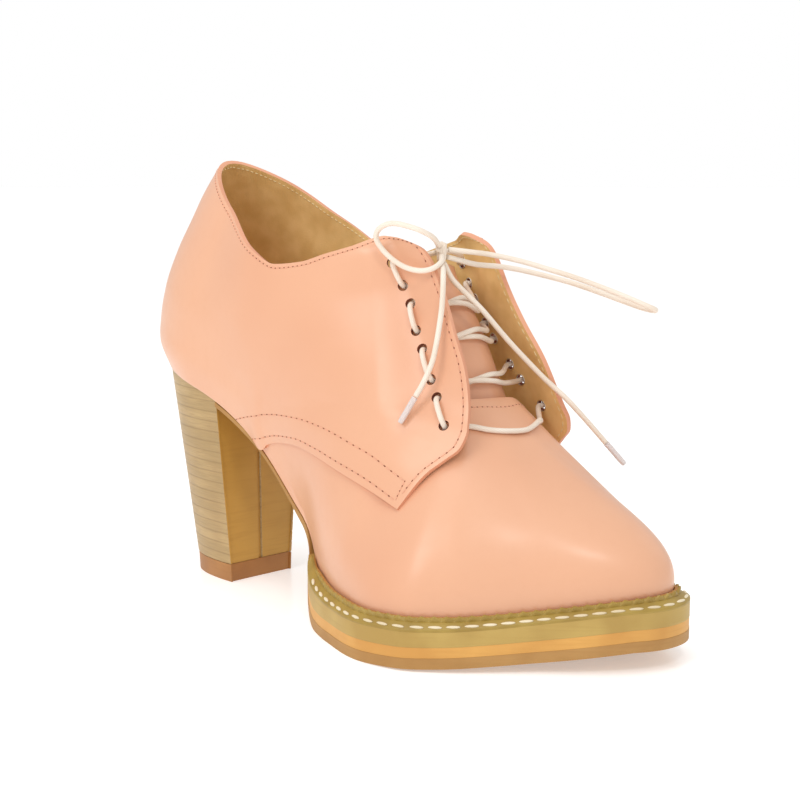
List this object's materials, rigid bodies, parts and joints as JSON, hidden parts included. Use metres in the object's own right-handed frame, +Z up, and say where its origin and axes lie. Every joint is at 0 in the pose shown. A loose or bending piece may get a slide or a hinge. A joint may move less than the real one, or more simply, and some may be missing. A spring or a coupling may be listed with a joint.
{
  "type": "heeled lace-up shoe",
  "caption": "Women's heeled lace-up shoe for the right foot, pink leather with an open throat, round cord laces, a layered platform and a stacked heel.",
  "frame": {"origin": "on the floor under the ball of the foot, where the forefoot part of the sole rests", "axes": "+Y towards the toe, +X towards the wearer's right, the outer side, +Z up"},
  "size_m": [0.1078, 0.2467, 0.1636],
  "materials": {
    "pink_leather": "smooth semi-gloss",
    "lining_suede": "matte napped",
    "olive_sole": "satin",
    "orange_stripe": "satin",
    "brown_rubber": "matte",
    "stacked_leather": "satin, layered",
    "waxed_cord": "waxed braided cord",
    "clear_tip": "clear"
  },
  "bodies": {
    "root": {"outsole": "brown_rubber", "platform_stripe": "orange_stripe", "platform": "olive_sole", "welt": "olive_sole", "heel": "stacked_leather", "top_lift": "brown_rubber", "insole": "lining_suede", "upper": "pink_leather", "tongue": "pink_leather", "lace_crossing_1": "waxed_cord", "lace_crossing_2": "waxed_cord", "lace_crossing_3": "waxed_cord", "lace_bar": "waxed_cord", "lace_top": "waxed_cord", "lace_outer_1": "waxed_cord", "lace_outer_2": "waxed_cord", "lace_outer_3": "waxed_cord", "lace_outer_4": "waxed_cord", "lace_inner_1": "waxed_cord", "lace_inner_2": "waxed_cord", "lace_inner_3": "waxed_cord", "lace_inner_4": "waxed_cord", "lace_knot": "waxed_cord", "lace_loop_outer": "waxed_cord", "lace_loop_inner": "waxed_cord", "lace_end_outer": "waxed_cord", "lace_end_inner": "waxed_cord", "aglet_outer": "clear_tip", "aglet_inner": "clear_tip"}
  },
  "joints": []
}
